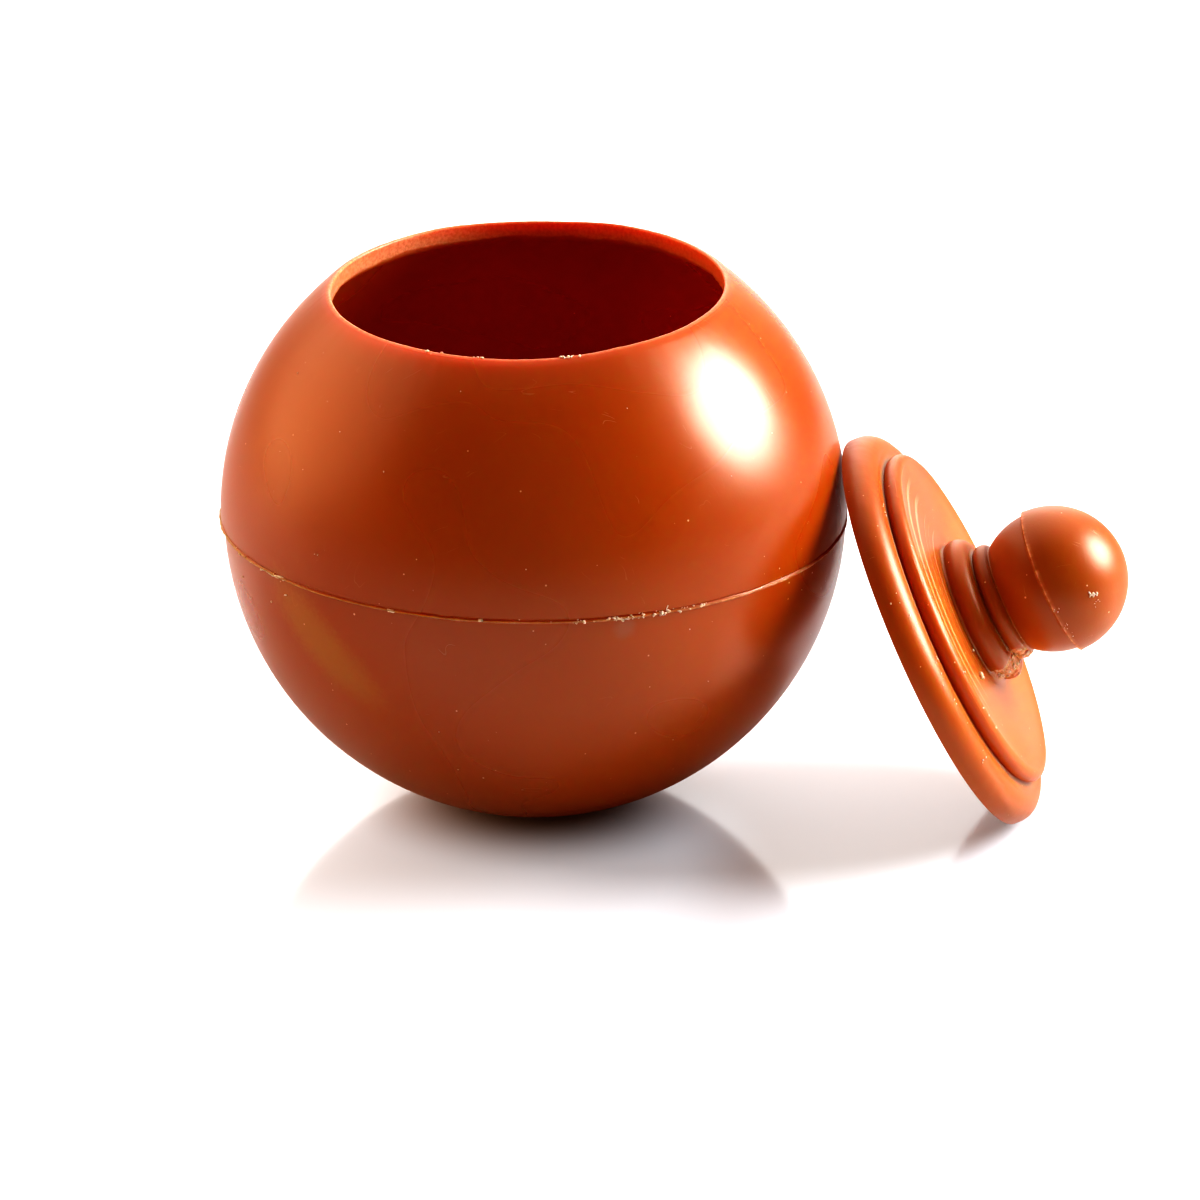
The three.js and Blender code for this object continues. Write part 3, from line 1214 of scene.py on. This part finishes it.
@dataclass
class Studio:
    """The camera, the lights and the pale glossy floor.

    The floor has a painted glow, seen by the camera alone, that makes it lighter where the camera sees the
    pot's shadow and mirror image in it. That glow starts round the foot and fades round the image's middle:
    each has two distances and the light that it comes to.
    """

    camera_place: Triple = (0.012520, -1.088733, 0.457898)
    camera_pitch: float = 21.0
    focal_length: float = 180.0
    sensor: float = 36.0
    floor_size: float = 8.0
    floor_colour: Colour = (0.71, 0.75, 0.81)
    painted_floor_glow: Colour = (0.80, 0.91, 1.0)
    floor_roughness: float = 0.10
    foot_start: Triple = (0.015, 0.042, 0.28)
    image_middle: Triple = (-0.020, -0.035, 0.0)
    image_fade: Triple = (0.045, 0.068, 0.34)
    target: Vector = field(default_factory=lambda: Vector((0.02, 0.0, 0.055)))
    panels: tuple[Panel, ...] = (
        Panel("key_panel", (0.86, 0.13, 0.465), 1.1, 0.68, 16.0, (1.0, 1.0, 1.0)),
        Panel("left_panel", (-0.844, 0.19, 0.50), 1.2, 1.5, 2.8, (1.0, 0.88, 0.74)),
    )
    glows: tuple[Glow, ...] = (
        Glow(0.0, 12.0, 20.0, 1.8),
        Glow(0.0, 50.0, 4.0, 1.25),
        Glow(-74.0, 12.0, 5.0, 1.7, (1.0, 0.62, 0.30)),
        Glow(78.0, 6.0, 9.0, 0.4, (1.0, 0.60, 0.30)),
        Glow(180.0, 14.0, 2.0, 0.29, (1.0, 0.60, 0.32)),
    )

    def build(self) -> None:
        """Builds all of it."""
        view = bpy.context.scene.view_settings
        view.view_transform = "Standard"
        view.look = "Very High Contrast"
        self._camera()
        for panel in self.panels:
            panel.build(self.target)
        self._surroundings()
        self._floor()
        log.info("set up the studio")

    def _camera(self) -> None:
        """Puts the camera at the photograph's viewing angle."""
        data = bpy.data.cameras.new("studio_camera")
        data.lens = self.focal_length
        data.sensor_width = self.sensor
        camera = in_scene("studio_camera", data)
        camera.location = self.camera_place
        camera.rotation_euler = (math.radians(90 - self.camera_pitch), 0.0, 0.0)
        bpy.context.scene.camera = camera

    def _surroundings(self) -> None:
        """Makes the surroundings out of soft glows. The camera itself sees them as plain white."""
        world = bpy.data.worlds.new("studio_surroundings")
        world.use_nodes = True
        bpy.context.scene.world = world
        wires = Wiring(world.node_tree)
        way = wires.node("TexCoord").outputs["Generated"]
        light = wires.node("LightPath").outputs["Is Camera Ray"]
        for glow in self.glows:
            light = wires.vector("ADD", light, glow.light(wires, way))
        wires.feed(world.node_tree.nodes["Background"].inputs["Color"], light)

    def _floor(self) -> None:
        """Adds the floor, with its painted glow round the pot."""
        mesh = bmesh.new()
        bmesh.ops.create_grid(mesh, x_segments=1, y_segments=1, size=self.floor_size / 2)
        data = bpy.data.meshes.new("studio_floor")
        mesh.to_mesh(data)
        mesh.free()
        floor = in_scene("studio_floor", data)
        material, wires, shader = blank_material("white_acrylic")
        place = wires.node("TexCoord").outputs["Object"]
        # Painted light: the floor glows for the camera only, from round the pot's foot out past its mirror
        # image, to lift the shadow and the image there.
        start, end, light = self.foot_start
        inner = wires.range(wires.vector("DISTANCE", place, ORIGIN), start, end, 0.0, light)
        start, end, light = self.image_fade
        outer = wires.range(wires.vector("DISTANCE", place, self.image_middle), start, end, 1.0, light)
        wires.fill(shader, {
            "Base Color": self.floor_colour,
            "Roughness": self.floor_roughness,
            "Emission Color": self.painted_floor_glow,
            "Emission Strength": wires.times(inner, outer, wires.node("LightPath").outputs["Is Camera Ray"]),
        })
        data.materials.append(material)


def pot_finish() -> Chocolate:
    """Describes the pot's chocolate, with a painted olive reflection under its seam at the left and a grey
    smudge.
    """
    # Painted reflection: a soft olive streak of reflected light, painted into the colour under the seam at
    # the left.
    painted_reflection_streak = Patch.streak((-47.5, -37.6, 57.0), (-31.0, -48.5, 39.0), 7.5, (0.46, 0.20, 0.02), 0.65)
    smudge = Patch((17.1, -57.7, 56.5), (3.0, 3.0, 3.0), (0.40, 0.20, 0.14), 0.35, ragged=0.5)
    return Chocolate("pot_chocolate", patches=(painted_reflection_streak, smudge))


def lid_finish() -> Chocolate:
    """Describes the lid's chocolate, which is a little lighter and has turned rings."""
    return Chocolate("lid_chocolate", deep=(0.40, 0.095, 0.001), warm=(0.48, 0.125, 0.003), roughness=0.38,
                     scuffed=0.35, speck_share=0.45, grain=0.5, turned=True)


def main() -> None:
    """Builds the pot, its lid, the crumbs and the studio."""
    logging.basicConfig(level=logging.INFO, format="%(message)s")
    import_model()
    effects = Effects()
    pot = Pot()
    pot.build(pot_finish(), effects)
    lid = Lid()
    lid.build(lid_finish(), effects)
    cream = CrumbFinish("cream_crumb", (0.80, 0.50, 0.32), (0.96, 0.82, 0.66))
    tan = CrumbFinish("tan_crumb", (0.90, 0.60, 0.42), (0.98, 0.84, 0.68))
    Crumbs("crumbs_on_seam", pot, Slot.POT, seam_crumbs(), 2).build(cream)
    Crumbs("crumbs_on_ball", pot, Slot.POT, ball_crumbs(), 3).build(tan)
    Crumbs("crumbs_on_rim", pot, Slot.POT, rim_crumbs(), 4).build(cream)
    Crumbs("crumbs_in_break", lid, Slot.LID, neck_crumbs(lid), 5).build(tan)
    Crumbs("crumbs_on_lid", lid, Slot.LID, pale_lid_crumbs(), 6).build(cream)
    Studio().build()


if __name__ == "__main__":
    main()
